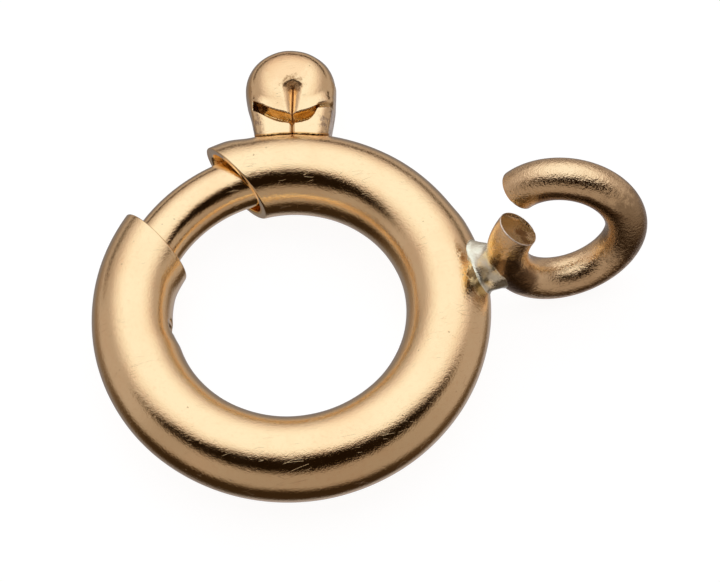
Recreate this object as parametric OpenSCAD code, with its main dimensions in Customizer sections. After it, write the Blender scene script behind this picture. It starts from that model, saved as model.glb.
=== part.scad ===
// Spring ring clasp for a fine chain, with an open jump ring soldered to its side.
// Origin: the centre of the ring. +Z is the ring's axis and points up as the clasp lies.
// +X points at the solder joint. Angles run anticlockwise from +X, seen from above.

/* [Ring] */
// Outside diameter of the ring
ring_od = 6; // [5.4:0.1:8]
// Outside diameter of the tube that the ring is bent from
tube_d = 1.27; // [1.2:0.01:1.4]
// Wall of the tube
tube_wall = 0.13; // [0.1:0.01:0.15]

/* [Mouth] */
// Direction of the middle of the mouth
mouth_at = 121.5; // [118:0.5:126]
// Distance between the two cut ends of the tube
mouth_w = 1.46; // [1.2:0.02:1.6]
// How far the mouth is set over towards the trigger
mouth_set = 0.1; // [0:0.02:0.16]
// Angle between the two cuts
mouth_splay = 3; // [0:0.5:6]

/* [Tongue] */
// Radial play of the tongue in the tube
tongue_play = 0.1; // [0.05:0.01:0.12]
// How far the tip reaches into the far end of the tube
tip_reach = 0.25; // [0.15:0.01:0.35]
// How far the tail reaches past the middle of the trigger
tail_reach = 0.66; // [0.6:0.02:0.8]

/* [Trigger] */
// Direction of the trigger with the clasp closed
trigger_at = 79; // [76:0.5:80]
// How far the trigger turns back round the ring, in degrees
trigger_turn = 44; // [36:1:45]
// Thickness of the folded sheet
sheet = 0.12; // [0.09:0.01:0.13]
// Diameter of the head, seen along the ring
head_d = 1.26; // [1:0.02:1.26]
// Width of the head round the ring
head_w = 1.39; // [1.28:0.01:1.6]
// Gap between the head and the outside of the tube
head_gap = 0.15; // [0.1:0.02:0.4]
// Width of the neck round the ring
neck_w = 1.17; // [1:0.01:1.24]
// Thickness of the neck across the ring
neck_t = 0.86; // [0.7:0.02:0.96]
// Gap between the neck and the tube
neck_gap = 0.06; // [0.03:0.01:0.1]
// Width of the blade that reaches through the slot into the tongue
blade_w = 0.86; // [0.6:0.02:0.9]
// Play of the blade in the slot and in the tongue
blade_play = 0.03; // [0.02:0.005:0.05]
// Width of the open seam down the front of the trigger
trigger_seam = 0.04; // [0.02:0.01:0.08]
// Widest opening of the crescent gaps under the front of the head
crescent_w = 0.1; // [0.06:0.01:0.14]

/* [Spring] */
// Diameter of the spring wire
spring_wire = 0.13; // [0.1:0.01:0.16]
// Radial play of the spring in the tube
spring_play = 0.08; // [0.05:0.01:0.12]
// Turns of the spring
spring_turns = 24; // [12:1:28]
// Direction of the lanced hole in the inner wall, whose tab stops the spring
stop_at = 176; // [168:1:184]
// Length of the lanced hole along the ring
stop_hole_len = 0.26; // [0.16:0.02:0.3]
// Height of the lanced hole across the ring
stop_hole_h = 0.5; // [0.4:0.02:0.56]
// Thickness of the tab
stop_t = 0.13; // [0.1:0.01:0.2]

/* [Jump ring] */
// Diameter of the jump ring's wire
jump_wire = 0.63; // [0.5:0.01:0.7]
// Inside diameter of the jump ring
jump_id = 1.22; // [1.1:0.02:1.6]
// Lean of the jump ring from upright
jump_lean = 10.5; // [4:0.5:20]
// Turn of the jump ring about the vertical
jump_yaw = 4; // [-10:0.5:10]
// Twist that the jump ring is opened with
jump_twist = 20.5; // [8:0.5:26]
// Place of the short end on the jump ring's circle
jump_short_end = 142.5; // [136:0.5:150]
// Place of the twist on the jump ring's circle
jump_bend = 346.5; // [320:0.5:350]
// Place of the long end on the jump ring's circle
jump_long_end = 494.5; // [486:0.5:497]
// Height of the jump ring's lowest point above the underside of the tube
jump_lift = 0.015; // [0:0.005:0.1]

/* [Solder] */
// Diameter of the bead of solder between the tube and the jump ring
solder_d = 0.64; // [0.56:0.02:0.8]
// Height of the bead above the middle of the tube
solder_z = 0.22; // [0.1:0.02:0.3]
// Direction of the bead
solder_at = 0; // [-4:0.5:4]

/* [Hidden] */

tube_r = tube_d / 2;
ring_r = ring_od / 2 - tube_r;
bore_r = tube_r - tube_wall;
tongue_r = bore_r - tongue_play;
beyond = ring_od + jump_id + 2 * jump_wire;
half_turn = 180;
full_turn = 360;
right_angle = 90;
round_fn = 96;
fine_fn = 48;

// Direction of the point where a cut, set off from the centre, meets a circle of radius r
function cut_at(normal_at, off, r) = normal_at + acos(off / r);
// Angle round the ring of a length along a circle of radius r
function along(len, r) = len / r * half_turn / PI;
// Angle round the ring that half of a straight width takes up at radius r
function half_width_at(w, r) = asin(w / 2 / r);

near_cut_normal = mouth_at - right_angle - mouth_splay / 2;
far_cut_normal = mouth_at - right_angle + mouth_splay / 2;
near_cut_off = mouth_w / 2 + mouth_set;
far_cut_off = mouth_set - mouth_w / 2;

tip_at = cut_at(far_cut_normal, far_cut_off, ring_r) + along(tip_reach, ring_r);
tail_at = trigger_at - along(tail_reach, ring_r);

blade_t = 2 * sheet;
blade_root = ring_r - tongue_r / 3;
neck_foot = ring_od / 2 + neck_gap;
slot_h = blade_t + 2 * blade_play;
slot_side = half_width_at(blade_w + 2 * blade_play, ring_r + bore_r);
slot_from = trigger_at - trigger_turn - slot_side;
slot_to = trigger_at + slot_side;

head_r = head_d / 2;
head_at = ring_od / 2 + head_gap + head_r;
head_half = (head_w - head_d) / 2;
crescent_r = head_r + head_half - sheet / 8;

stop_hole_side = along(stop_hole_len, ring_r - tube_r) / 2;
stop_side = along(stop_t, ring_r) / 2;
stop_mid = stop_at - stop_hole_side + stop_side;
spring_r = bore_r - spring_play - spring_wire / 2;
spring_gap = 0.03;
spring_steps = 10;
spring_sides = 5;
spring_rings = spring_turns * spring_steps;
spring_tail = tail_at - along(spring_gap + spring_wire / 2, ring_r);
spring_foot = stop_mid - full_turn + stop_side + along(spring_gap + spring_wire / 2, ring_r);

jump_r = (jump_id + jump_wire) / 2;
jump_x = ring_od / 2 + jump_r + jump_wire / 2;
jump_z = jump_lift - tube_r + jump_wire / 2 + jump_r * cos(jump_lean);
bend_proud = jump_wire / 40;
bend_short = along(jump_wire / 30, jump_r);

// Solid arc of round rod about the Z axis
module arc_rod(r, rod_r, from, to)
    rotate([0, 0, from])
        rotate_extrude(angle = to - from, $fn = round_fn)
            translate([r, 0])
                circle(r = rod_r, $fn = fine_fn);

// Whole ring of round rod about the Z axis, which starts and ends in the mouth
module ring_rod(r, rod_r)
    rotate([0, 0, mouth_at])
        rotate_extrude($fn = round_fn)
            translate([r, 0])
                circle(r = rod_r, $fn = fine_fn);

// Everything between the two cut planes, on the mouth's side of the ring
module mouth_cut()
    intersection() {
        rotate([0, 0, near_cut_normal])
            translate([near_cut_off - beyond, 0, -beyond / 2])
                cube([beyond, beyond, beyond]);
        rotate([0, 0, far_cut_normal])
            translate([far_cut_off, 0, -beyond / 2])
                cube([beyond, beyond, beyond]);
    }

// Slot in the outer wall that the blade slides along, with flat ends square to the ring
module slot_cut()
    rotate([0, 0, slot_from])
        rotate_extrude(angle = slot_to - slot_from, $fn = round_fn)
            translate([ring_r, -slot_h / 2])
                square([2 * tube_r, slot_h]);

// Lanced hole through the inner wall, with round ends
module stop_hole()
    rotate([0, 0, stop_at])
        translate([ring_r, 0, 0])
            rotate([0, -right_angle, 0]) {
                translate([-(stop_hole_h - stop_hole_len) / 2, -stop_hole_len / 2, 0])
                    cube([stop_hole_h - stop_hole_len, stop_hole_len, 2 * tube_r]);
                for (side = [-1, 1])
                    translate([side * (stop_hole_h - stop_hole_len) / 2, 0, 0])
                        cylinder(d = stop_hole_len, h = 2 * tube_r, $fn = fine_fn);
            }

// Tab that is bent into the tube from the lanced hole, across its whole bore
module stop_tab()
    arc_rod(ring_r, bore_r + tube_wall / 2, stop_mid - stop_side, stop_mid + stop_side);

// Rolled tube bent to a ring, open at the mouth, with its slot and its lanced hole
module tube() {
    difference() {
        ring_rod(ring_r, tube_r);
        ring_rod(ring_r, bore_r);
        mouth_cut();
        slot_cut();
        stop_hole();
    }
    stop_tab();
}

// One planar half of the jump ring, on its own circle in the XY plane
module jump_half(from, to)
    arc_rod(jump_r, jump_wire / 2, from, to);

// Two halves that share the tangent at the bend, where the wire is twisted to open the ring.
// A ball just wider than the wire joins them there, so neither needs to meet the other's end face.
module jump_ring()
    translate([jump_x, 0, jump_z])
        rotate([0, 0, jump_yaw])
            rotate([right_angle - jump_lean, 0, 0]) {
                jump_half(jump_short_end, jump_bend - bend_short);
                rotate([0, 0, jump_bend])
                    translate([jump_r, 0, 0]) {
                        rotate([0, -jump_twist, 0])
                            translate([-jump_r, 0, 0])
                                jump_half(bend_short, jump_long_end - jump_bend);
                        sphere(d = jump_wire + bend_proud, $fn = fine_fn);
                    }
            }

// Bead of solder that fills the corner between the tube and the jump ring. Its poles are inside them.
module solder()
    rotate([0, 0, solder_at])
        translate([ring_od / 2, 0, solder_z])
            difference() {
                rotate([0, right_angle, 0])
                    sphere(d = solder_d, $fn = fine_fn);
                translate([-ring_od / 2, 0, -solder_z])
                    ring_rod(ring_r, bore_r + tube_wall / 2);
            }

// Tube, solder and jump ring, which are one piece of metal
module clasp_body()
    color("goldenrod") {
        tube();
        solder();
        jump_ring();
    }

// Coil spring laid along the tube's own circle, swept as a ring of points for each step
function spring_turn_at(i) = full_turn * i / spring_steps;
function spring_along(i) = spring_tail + (spring_foot - spring_tail) * i / spring_rings;
// Unit vector out from the ring's centre at angle a
function out_from(a) = [cos(a), sin(a), 0];
// Unit vector from the coil's middle line to its wire
function coil_out(i) = out_from(spring_along(i)) * cos(spring_turn_at(i)) + [0, 0, sin(spring_turn_at(i))];
function coil_middle(i) = out_from(spring_along(i)) * ring_r + coil_out(i) * spring_r;
// Unit vector along the ring
function ring_way(i) = [-sin(spring_along(i)), cos(spring_along(i)), 0];
function coil_point(i, k) =
    coil_middle(i)
    + coil_out(i) * cos(full_turn * k / spring_sides) * spring_wire / 2
    + ring_way(i) * sin(full_turn * k / spring_sides) * spring_wire / 2;

module spring() {
    points = [for (i = [0 : spring_rings]) for (k = [0 : spring_sides - 1]) coil_point(i, k)];
    last = spring_rings * spring_sides;
    sides = [
        for (i = [0 : spring_rings - 1]) for (k = [0 : spring_sides - 1])
            let (n = (k + 1) % spring_sides, a = i * spring_sides, b = a + spring_sides)
                each [[a + k, b + k, a + n], [b + k, b + n, a + n]]
    ];
    ends = [
        [for (k = [0 : spring_sides - 1]) k],
        [for (k = [0 : spring_sides - 1]) last + spring_sides - 1 - k]
    ];
    color("silver")
        polyhedron(points, concat(sides, ends));
}

// Blade of doubled sheet along +X, from inside the tongue out past the foot of the neck
module blade(play)
    translate([blade_root - play, -blade_w / 2 - play, -blade_t / 2 - play])
        cube([neck_foot + sheet - blade_root, blade_w + 2 * play, blade_t + 2 * play]);

// Curved wire that closes the mouth, with a mortise for the blade
module tongue()
    color("goldenrod")
        difference() {
            arc_rod(ring_r, tongue_r, tail_at, tip_at);
            rotate([0, 0, trigger_at])
                blade(blade_play);
        }

// Rod with round ends that lies along the Y axis, centred on the origin
module head_form(r) {
    rotate([right_angle, 0, 0])
        cylinder(r = r, h = 2 * head_half, center = true, $fn = fine_fn);
    for (side = [-1, 1])
        translate([0, side * head_half, 0])
            sphere(r = r, $fn = fine_fn);
}

// Flat-sided neck with round edges, from the ring's middle line out to the head's centre
module neck_form(w, t)
    translate([ring_r, 0, 0])
        rotate([right_angle, 0, right_angle])
            linear_extrude(head_at - ring_r) {
                square([w - t, t], center = true);
                for (side = [-1, 1])
                    translate([side * (w - t) / 2, 0])
                        circle(d = t, $fn = fine_fn);
            }

// Crescent gap between the front of the head and the neck, open to the front only
module crescent_cut()
    translate([head_at, 0, blade_t / 2])
        linear_extrude(head_r)
            difference() {
                translate([-crescent_w, 0])
                    circle(r = crescent_r, $fn = round_fn);
                circle(r = crescent_r, $fn = round_fn);
                translate([-crescent_r * cos(half_turn / 3), -head_w])
                    square([2 * head_w, 2 * head_w]);
            }

// Open seam down the front of the head and the neck
module front_seam()
    translate([ring_r, -trigger_seam / 2, blade_t / 2])
        cube([head_at - ring_r + head_r / 4, trigger_seam, head_r]);

// Plate of doubled sheet inside the neck, let into the neck's sides, which the blade stands on
module neck_web()
    translate([neck_foot, -(neck_w - sheet) / 2, -blade_t / 2])
        cube([head_at - sheet / 2 - neck_foot, neck_w - sheet, blade_t]);

// Folded sheet trigger, hollow, standing on its blade, laid out along +X
module trigger_along_x() {
    difference() {
        union() {
            translate([head_at, 0, 0])
                head_form(head_r);
            neck_form(neck_w, neck_t);
        }
        translate([head_at, 0, 0])
            head_form(head_r - sheet);
        neck_form(neck_w - 2 * sheet, neck_t - 2 * sheet);
        crescent_cut();
        front_seam();
        ring_rod(ring_r, tube_r + neck_gap);
    }
    blade(0);
    neck_web();
}

module trigger()
    color("gold")
        rotate([0, 0, trigger_at])
            trigger_along_x();

clasp_body();
spring();
tongue();
trigger();
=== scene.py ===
import math

import bpy
import numpy as np
from mathutils import Matrix, Vector


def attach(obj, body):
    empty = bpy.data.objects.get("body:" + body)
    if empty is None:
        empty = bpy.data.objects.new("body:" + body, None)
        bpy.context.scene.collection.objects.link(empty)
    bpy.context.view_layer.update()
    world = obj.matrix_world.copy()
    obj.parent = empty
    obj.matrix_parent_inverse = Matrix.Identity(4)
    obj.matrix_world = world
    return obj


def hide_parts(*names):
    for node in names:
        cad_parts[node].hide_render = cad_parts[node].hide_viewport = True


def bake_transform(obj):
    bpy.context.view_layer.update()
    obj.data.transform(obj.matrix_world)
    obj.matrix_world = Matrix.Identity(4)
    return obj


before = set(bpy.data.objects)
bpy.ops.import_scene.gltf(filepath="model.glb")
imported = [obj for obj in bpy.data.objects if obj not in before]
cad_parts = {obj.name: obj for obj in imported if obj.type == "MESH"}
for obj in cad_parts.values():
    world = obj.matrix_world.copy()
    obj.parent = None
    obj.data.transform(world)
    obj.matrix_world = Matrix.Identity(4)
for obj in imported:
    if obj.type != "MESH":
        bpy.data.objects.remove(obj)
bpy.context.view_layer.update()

# Sizes in mm and degrees, mostly those of part.scad
MM = 0.001

RING_OD = 6.0
TUBE_R = 1.27 / 2
TUBE_WALL = 0.13
RING_R = RING_OD / 2 - TUBE_R
BORE_R = TUBE_R - TUBE_WALL

MOUTH_AT = 121.5
MOUTH_W = 1.46
MOUTH_SET = 0.1
MOUTH_SPLAY = 3
NEAR_CUT = (MOUTH_AT - 90 - MOUTH_SPLAY / 2, MOUTH_W / 2 + MOUTH_SET)
FAR_CUT = (MOUTH_AT - 90 + MOUTH_SPLAY / 2, MOUTH_SET - MOUTH_W / 2)

TRIGGER_AT = 79
TRIGGER_TURN = 44
SHEET = 0.12
HEAD_D = 1.26
HEAD_W = 1.39
HEAD_AT = RING_OD / 2 + 0.16 + HEAD_D / 2
NECK_T = 0.86
FOOT_GAP = 0.006
BLADE_W = 0.86
BLADE_T = 2 * SHEET
BLADE_PLAY = 0.03

TONGUE_R = BORE_R - 0.1
TONGUE_SHIFT = -0.015
TIP_REACH = 0.25
TAIL_REACH = 0.66

SPRING_WIRE = 0.13
SPRING_R = BORE_R - 0.08 - SPRING_WIRE / 2
SPRING_TURNS = 24

STOP_AT = 176
STOP_HOLE_LEN = 0.26
STOP_HOLE_H = 0.5
STOP_T = 0.13

JUMP_WIRE = 0.63
JUMP_R = (1.22 + JUMP_WIRE) / 2
JUMP_LEAN = 10.5
JUMP_YAW = 4
JUMP_TWIST = 22
JUMP_SHORT_END = 142.5
JUMP_BEND = 346.5
JUMP_LONG_END = 494.5
JUMP_LIFT = 0.015
JUMP_X = RING_OD / 2 + JUMP_R + JUMP_WIRE / 2
JUMP_Z = JUMP_LIFT - TUBE_R + JUMP_WIRE / 2 + JUMP_R * math.cos(math.radians(JUMP_LEAN))

FLOOR_Z = -TUBE_R


def along(length, radius):
    """Angle in degrees of a length along a circle."""
    return math.degrees(length / radius)


def half_width_at(width, radius):
    """Angle in degrees that half of a straight width takes up at a radius."""
    return math.degrees(math.asin(width / 2 / radius))


def cut_angle(cut, rho, inset=0.0):
    """Angle in degrees where a mouth cut, moved into the metal by inset, meets a circle of radius rho."""
    normal, off = cut
    at = off + inset if off > 0 else off - inset
    return normal + np.degrees(np.arccos(at / rho))


SLOT_HALF_H = BLADE_T / 2 + BLADE_PLAY
SLOT_SIDE = half_width_at(BLADE_W + 2 * BLADE_PLAY, RING_R + BORE_R)
SLOT_FROM = TRIGGER_AT - TRIGGER_TURN - SLOT_SIDE
SLOT_TO = TRIGGER_AT + SLOT_SIDE
TIP_AT = float(cut_angle(FAR_CUT, RING_R)) + along(TIP_REACH, RING_R)
TAIL_AT = TRIGGER_AT - along(TAIL_REACH, RING_R)
HOLE_SIDE = along(STOP_HOLE_LEN, RING_R - TUBE_R) / 2
STOP_SIDE = along(STOP_T, RING_R) / 2
STOP_MID = STOP_AT - HOLE_SIDE + STOP_SIDE
SPRING_GAP = 0.03
SPRING_TAIL = TAIL_AT - along(SPRING_GAP + SPRING_WIRE / 2, RING_R)
SPRING_FOOT = STOP_MID - 360 + STOP_SIDE + along(SPRING_GAP + SPRING_WIRE / 2, RING_R)


# Meshes
def add_mesh(name, points, faces, material, sharp=None):
    """Object of points in mm with smooth faces, but edges that turn by more than sharp degrees kept sharp."""
    mesh = bpy.data.meshes.new(name)
    mesh.from_pydata((np.asarray(points) * MM).tolist(), [], faces)
    mesh.polygons.foreach_set("use_smooth", [True] * len(mesh.polygons))
    mesh.materials.append(material)
    mesh.update()
    if sharp:
        mesh.set_sharp_from_angle(angle=math.radians(sharp))
    piece = bpy.data.objects.new(name, mesh)
    bpy.context.scene.collection.objects.link(piece)
    return piece


def polar(rho, angle, z):
    """Points at radii rho and angles in degrees about the Z axis."""
    a = np.radians(angle)
    return np.stack(np.broadcast_arrays(rho * np.cos(a), rho * np.sin(a), z), -1)


def grid_faces(rows, columns, closed_columns=False, gone=None):
    """Quads of a grid whose rows close on themselves. gone marks the cells to leave out."""
    last = columns if closed_columns else columns - 1
    faces = []
    for i in range(rows):
        below = (i + 1) % rows
        for j in range(last):
            if gone is None or not gone[i, j]:
                after = (j + 1) % columns
                this_row, next_row = i * columns, below * columns
                faces.append((this_row + j, this_row + after, next_row + after, next_row + j))
    return faces


def bump_shape(value, centre, half_width):
    """Smooth hump from 0 to 1 and back, of the given half width."""
    t = np.clip(1 - np.abs(value - centre) / half_width, 0, 1)
    return t * t * (3 - 2 * t)


def ramp(value, low, high):
    """Smooth step from 0 at low to 1 at high."""
    t = np.clip((value - low) / (high - low), 0, 1)
    return t * t * (3 - 2 * t)


# Surface of a distance field
def surface_net(field, low, high, step):
    """Points and quads of the surface where field, in mm, is zero."""
    axes = [np.arange(a, b + step, step) for a, b in zip(low, high)]
    corner = np.stack(np.meshgrid(*axes, indexing="ij"), -1)
    value = field(corner.reshape(-1, 3)).reshape(corner.shape[:3])
    inside = value < 0
    cells = tuple(n - 1 for n in value.shape)
    total, count = np.zeros(cells + (3,)), np.zeros(cells)
    crossings = []
    for axis in range(3):
        start = [slice(None)] * 3
        end = [slice(None)] * 3
        start[axis], end[axis] = slice(None, -1), slice(1, None)
        start, end = tuple(start), tuple(end)
        hit = np.argwhere(inside[start] != inside[end])
        a, b = value[start][tuple(hit.T)], value[end][tuple(hit.T)]
        place = hit.astype(float)
        place[:, axis] += a / (a - b)
        others = [k for k in range(3) if k != axis]
        inner = np.all([(hit[:, k] > 0) & (hit[:, k] < cells[k]) for k in others], axis=0)
        hit, place, leaving = hit[inner], place[inner], (a < 0)[inner]
        around = []
        for da, db in ((0, 0), (1, 0), (1, 1), (0, 1)):
            cell = hit.copy()
            cell[:, others[0]] -= da
            cell[:, others[1]] -= db
            np.add.at(total, tuple(cell.T), place)
            np.add.at(count, tuple(cell.T), 1)
            around.append(cell)
        crossings.append((around, leaving if axis != 1 else ~leaving))
    used = count > 0
    number = np.full(cells, -1)
    number[used] = np.arange(used.sum())
    points = np.array(low) + total[used] / count[used][:, None] * step
    faces = []
    for around, forward in crossings:
        quad = np.stack([number[tuple(cell.T)] for cell in around], -1)
        faces += quad[forward].tolist() + quad[~forward][:, ::-1].tolist()
    return settle(field, points, step), faces


def settle(field, points, step):
    """Moves points onto the field's zero surface along its slope."""
    reach = step / 2
    for _ in range(3):
        value = field(points)
        rises = [field(points + d) - field(points - d) for d in np.eye(3) * step / 8]
        slope = np.stack(rises, -1) / (step / 4)
        size = (slope ** 2).sum(-1)
        move = -slope * (value / np.maximum(size, 0.05))[:, None]
        points = points + np.clip(move, -reach, reach)
    return points


def smooth_min(a, b, k):
    h = np.clip(0.5 + (b - a) / (2 * k), 0, 1)
    return b * (1 - h) + a * h - k * h * (1 - h)


def smooth_max(a, b, k):
    return -smooth_min(-a, -b, k)


def torus_distance(p, ring_r, rod_r):
    return np.hypot(np.hypot(p[:, 0], p[:, 1]) - ring_r, p[:, 2]) - rod_r


# Node trees
class Term:
    """A number that a node tree works out, so that formulas can be written as such."""

    def __init__(self, tree, socket):
        self.tree, self.socket = tree, socket

    def math(self, operation, *others):
        node = self.tree.nodes.new("ShaderNodeMath")
        node.operation = operation
        for slot, value in zip(node.inputs, (self, *others)):
            feed(self.tree, value, slot)
        return Term(self.tree, node.outputs[0])

    def __add__(self, other):
        return self.math("ADD", other)

    def __sub__(self, other):
        return self.math("SUBTRACT", other)

    def __mul__(self, other):
        return self.math("MULTIPLY", other)

    def __truediv__(self, other):
        return self.math("DIVIDE", other)

    def step(self, low, high, to_low=0.0, to_high=1.0):
        """Smooth step from to_low at low to to_high at high."""
        node = self.tree.nodes.new("ShaderNodeMapRange")
        node.interpolation_type = "SMOOTHSTEP"
        feed(self.tree, self, node.inputs["Value"])
        node.inputs["From Min"].default_value = low
        node.inputs["From Max"].default_value = high
        node.inputs["To Min"].default_value = to_low
        node.inputs["To Max"].default_value = to_high
        return Term(self.tree, node.outputs["Result"])

    def fall(self, low, high):
        """Smooth step from 1 at low to 0 at high."""
        return self.step(low, high, 1.0, 0.0)


def feed(tree, value, slot):
    """Joins a term to a socket, or sets the socket to a plain value."""
    if isinstance(value, Term):
        tree.links.new(value.socket, slot)
    else:
        slot.default_value = value


def add_node(tree, kind, settings=(), **values):
    node = tree.nodes.new(kind)
    for key, value in dict(settings).items():
        setattr(node, key, value)
    for key, value in values.items():
        feed(tree, value, node.inputs[key.replace("_", " ")])
    return node


def xyz(tree, socket):
    parts = add_node(tree, "ShaderNodeSeparateXYZ")
    tree.links.new(socket, parts.inputs[0])
    return [Term(tree, s) for s in parts.outputs]


def colour_ramp(tree, value, stops):
    node = add_node(tree, "ShaderNodeValToRGB")
    feed(tree, value, node.inputs["Fac"])
    elements = node.color_ramp.elements
    while len(elements) < len(stops):
        elements.new(0.5)
    for element, (place, colour) in zip(elements, stops):
        element.position = place
        element.color = (*colour, 1)
    return Term(tree, node.outputs["Color"])


def mix(tree, share, a, b):
    node = add_node(tree, "ShaderNodeMix", {"data_type": "RGBA"})
    feed(tree, share, node.inputs["Factor"])
    slots = [s for s in node.inputs if s.type == "RGBA"]
    for value, slot in zip((a, b), slots):
        feed(tree, value if isinstance(value, Term) else (*value, 1), slot)
    return Term(tree, next(s for s in node.outputs if s.type == "RGBA"))


# Materials
def mm_coordinates(tree):
    """The piece's own coordinates in mm, which no pose changes."""
    source = add_node(tree, "ShaderNodeTexCoord")
    scale = add_node(tree, "ShaderNodeVectorMath", {"operation": "SCALE"}, Scale=1 / MM)
    tree.links.new(source.outputs["Object"], scale.inputs[0])
    return Term(tree, scale.outputs[0])


def noise(tree, where, scale, detail=2.0, roughness=0.5):
    node = add_node(tree, "ShaderNodeTexNoise", Vector=where, Scale=scale, Detail=detail, Roughness=roughness)
    return Term(tree, node.outputs["Fac"])


def stretched(tree, where, turn, stretch):
    """Coordinates turned and then drawn out, for marks that lie one way."""
    node = add_node(tree, "ShaderNodeMapping", Vector=where)
    node.inputs["Rotation"].default_value = turn
    node.inputs["Scale"].default_value = stretch
    return Term(tree, node.outputs[0])


def new_material(name):
    material = bpy.data.materials.new(name)
    material.use_nodes = True
    tree = material.node_tree
    shader = tree.nodes["Principled BSDF"]
    return material, tree, shader


def bump_chain(tree, shader, layers):
    """Bumps from (height term, depth in mm) pairs, one on the other."""
    below = None
    for height, depth in layers:
        node = add_node(tree, "ShaderNodeBump", Height=height, Distance=depth * MM, Strength=1.0)
        if below is not None:
            tree.links.new(below, node.inputs["Normal"])
        below = node.outputs["Normal"]
    tree.links.new(below, shader.inputs["Normal"])


def vector_math(tree, operation, where, other):
    node = add_node(tree, "ShaderNodeVectorMath", {"operation": operation}, Vector=where)
    node.inputs[1].default_value = tuple(other)
    return Term(tree, node.outputs["Value"])


def dot(tree, where, way):
    return vector_math(tree, "DOT_PRODUCT", where, way)


def distance(tree, where, place):
    """Distance in mm from a point."""
    return vector_math(tree, "DISTANCE", where, place)


def near(tree, where, place, reach, ragged=0.08):
    """Mask that is 1 round a point in mm and falls to 0 at the given reach, with a ragged edge."""
    edge = distance(tree, where, place) + (noise(tree, where, 11.0, 3.0, 0.65) - 0.5) * ragged * 3
    return edge.fall(reach * 0.55, reach)


def spots(tree, where, table, centre=(0.0, 0.0, 0.0)):
    """Mask of several such spots. Each has its place from the centre, its reach and how ragged it is."""
    mask = None
    for place, reach, ragged in table:
        spot = near(tree, where, np.array(centre) + place, reach, ragged)
        mask = mask.math("MAXIMUM", spot) if mask else spot
    return mask


def scattered_pits(tree, where):
    """Small round pits, in only some cells of a grid of points."""
    cells = add_node(tree, "ShaderNodeTexVoronoi", Vector=where, Scale=4.5)
    chance = xyz(tree, cells.outputs["Color"])[0]
    uneven = (noise(tree, where, 30.0) - 0.5) * 0.12
    far = Term(tree, cells.outputs["Distance"]) + uneven - chance * 0.04
    return far.fall(0.0, 0.05) * chance.step(0.45, 0.5)


def fine_scratches(tree, where):
    lines = add_node(
        tree, "ShaderNodeTexVoronoi", {"feature": "DISTANCE_TO_EDGE"},
        Vector=stretched(tree, where, (0.3, 0.5, 0.9), (0.8, 5.0, 2.5)), Scale=2.2,
    )
    line = Term(tree, lines.outputs["Distance"]).fall(0.0, 0.012)
    return line * noise(tree, where, 3.1).step(0.58, 0.62)


def metal(name, colour, worn, rough, grain, fineness=1.0, pits=0.5, waves=0.012, marks=()):
    """Polished or satin metal. worn is the colour of its stained spots, rough its range of roughness, grain
    the depth in mm of its fine orange-peel texture, finer where fineness is higher, and waves the depth of
    its slight dents. Each of the marks gives a mask, the colour under it, how much rougher it is there and
    how deep."""
    material, tree, shader = new_material(name)
    where = mm_coordinates(tree)
    shader.inputs["Metallic"].default_value = 1.0

    pit = scattered_pits(tree, where) * pits
    scratch = fine_scratches(tree, where)
    cloud = noise(tree, where, 1.3, 4.0, 0.6).step(0.4, 0.75)
    speckle = noise(tree, where, 16.0, 3.0, 0.65).step(0.5, 0.72)
    tint = mix(tree, cloud * 0.4 + speckle * 0.3, colour, worn)
    tint = mix(tree, pit, tint, PIT_COLOUR)
    level = noise(tree, where, 4.0, 3.0).step(0.3, 0.7, rough[0], rough[1]) + pit * 0.3 + scratch * 0.08

    layers = [
        (noise(tree, where, 1.5, 1.0), waves),
        (noise(tree, where, 14.0 * fineness, 2.0, 0.6), grain),
        (noise(tree, where, 30.0 * fineness, 2.0, 0.6), grain * 0.8),
        (noise(tree, where, 62.0 * fineness, 1.0, 0.6), grain * 0.35),
        (pit * -1.0, 0.004),
        (scratch * -1.0, 0.0008),
    ]
    for mark in marks:
        mask, shade, rougher, depth = mark(tree, where)
        tint = mix(tree, mask, tint, shade)
        level = level + mask * rougher
        if depth:
            layers.append((mask * -1.0, depth))
    tree.links.new(tint.socket, shader.inputs["Base Color"])
    tree.links.new(level.socket, shader.inputs["Roughness"])
    bump_chain(tree, shader, layers)
    return material


GOLD = (0.97, 0.755, 0.46)
GOLD_WORN = (0.93, 0.64, 0.36)
JUMP_GOLD = (0.95, 0.73, 0.455)
JUMP_WORN = (0.70, 0.48, 0.27)
SOLDER = (0.97, 0.98, 0.84)
SOLDER_WORN = (0.60, 0.58, 0.43)
STEEL = (0.62, 0.61, 0.58)
STEEL_WORN = (0.4, 0.38, 0.36)
PIT_COLOUR = (0.38, 0.24, 0.12)
BORE_GOLD = (1.0, 0.66, 0.22)
CORNER_BROWN = (0.20, 0.10, 0.03)
FLOW_TAN = (0.95, 0.66, 0.36)
OLIVE_GOLD = (0.54, 0.37, 0.15)
HEATED_GOLD = (0.96, 0.66, 0.24)
# Painted glint round the short end's face
RIM_GLINT = (1.0, 0.90, 0.83)
# Painted highlight on the short end's bevels
BEVEL_HIGHLIGHT = (1.0, 0.76, 0.45)
SEAM_BROWN = (0.30, 0.13, 0.04)
DIMPLE_BROWN = (0.34, 0.19, 0.08)
FOLD_GOLD = (1.0, 0.68, 0.36)
# Painted shade for the far side of the jump ring
FAR_SIDE_SHADE = (0.44, 0.32, 0.19)
# Painted shade inside the trigger's crescents
POCKET_SHADE_GOLD = (0.74, 0.47, 0.15)
# Painted shade at the crescents' left end
POCKET_END_SHADE = (0.36, 0.20, 0.08)
# Painted shade down the neck's sides
NECK_SIDE_SHADE = (0.42, 0.32, 0.24)
WORN_PEACH = (0.90, 0.60, 0.34)
FOOT_BROWN = (0.72, 0.42, 0.16)
# Painted shade: dark reflections on the jump ring's upper half and below its short end
PAINTED_DARK = (0.22, 0.13, 0.06)
# Painted shadow on the short end's face
FACE_SHADOW_BROWN = (0.30, 0.15, 0.05)


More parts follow.
